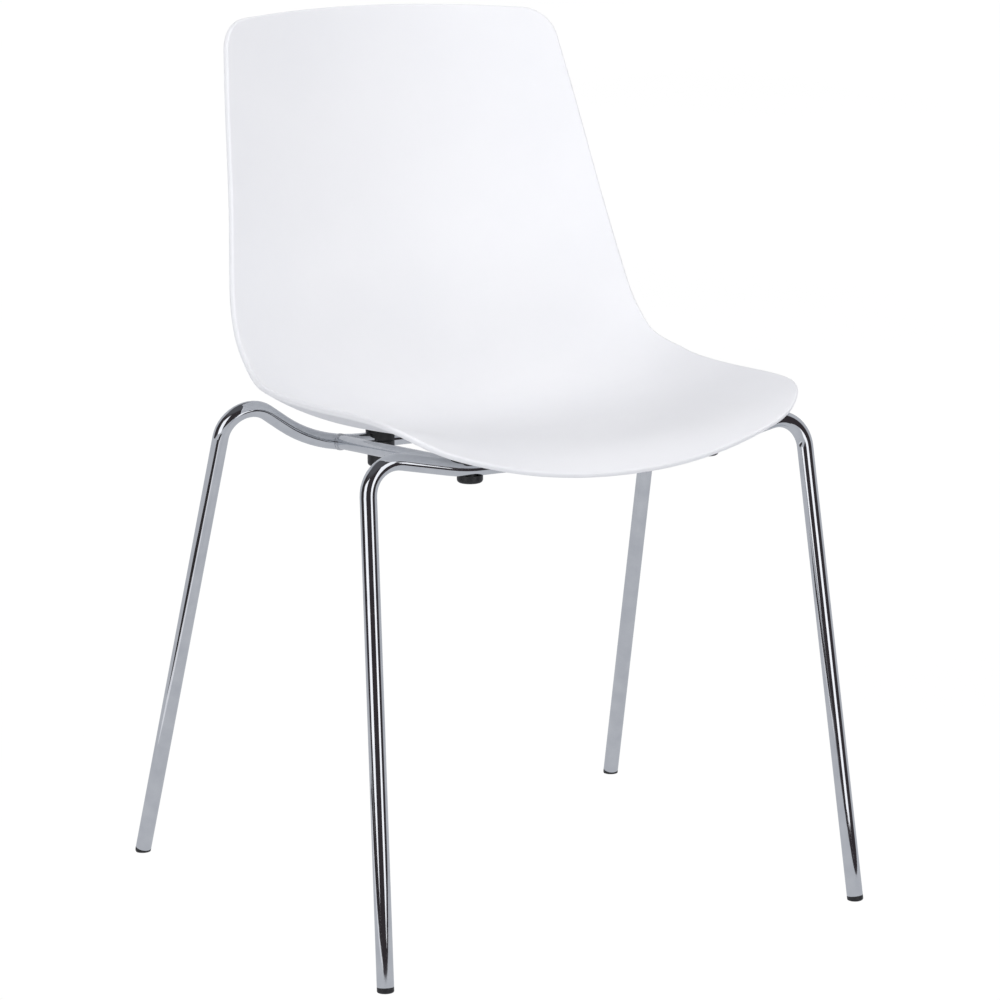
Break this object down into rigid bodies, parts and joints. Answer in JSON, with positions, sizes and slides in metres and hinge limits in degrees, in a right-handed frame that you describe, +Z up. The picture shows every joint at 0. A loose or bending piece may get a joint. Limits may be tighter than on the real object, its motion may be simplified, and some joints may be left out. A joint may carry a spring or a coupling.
{
  "type": "stacking chair",
  "caption": "Stackable side chair with a one-piece moulded white plastic shell on a chromed round-tube frame with splayed legs and black foot caps.",
  "frame": {"origin": "on the floor, on the centre plane, below the middle of the overall depth", "axes": "+Z up; the chair faces -Y; X runs across the seat, and the plane X = 0 is its mirror plane"},
  "size_m": [0.5832, 0.5219, 0.8582],
  "materials": {
    "shell_white": "satin moulded polypropylene, fine even texture",
    "chrome": "bright chrome plating on steel tube",
    "weld": "chrome-plated fillet weld, slightly rippled",
    "black_plastic": "matt black moulded plastic",
    "black_bumper": "satin black moulded plastic",
    "zinc_steel": "zinc-plated steel",
    "insert_brass": "plain brass",
    "foot_black": "matt black polyethylene"
  },
  "bodies": {
    "root": {"seat_shell": "shell_white", "front_leg_tube": "chrome", "rear_leg_tube": "chrome", "side_rail_left": "chrome", "side_rail_right": "chrome", "weld_beads": "weld", "front_pad_left": "black_plastic", "front_pad_right": "black_plastic", "rear_pad_left": "black_plastic", "rear_pad_right": "black_plastic", "front_bumper_left": "black_bumper", "front_bumper_right": "black_bumper", "rear_bumper_left": "black_bumper", "rear_bumper_right": "black_bumper", "mount_screws": "zinc_steel", "mount_washers": "zinc_steel", "threaded_inserts": "insert_brass", "foot_front_left": "foot_black", "foot_front_right": "foot_black", "foot_rear_left": "foot_black", "foot_rear_right": "foot_black"}
  },
  "joints": []
}
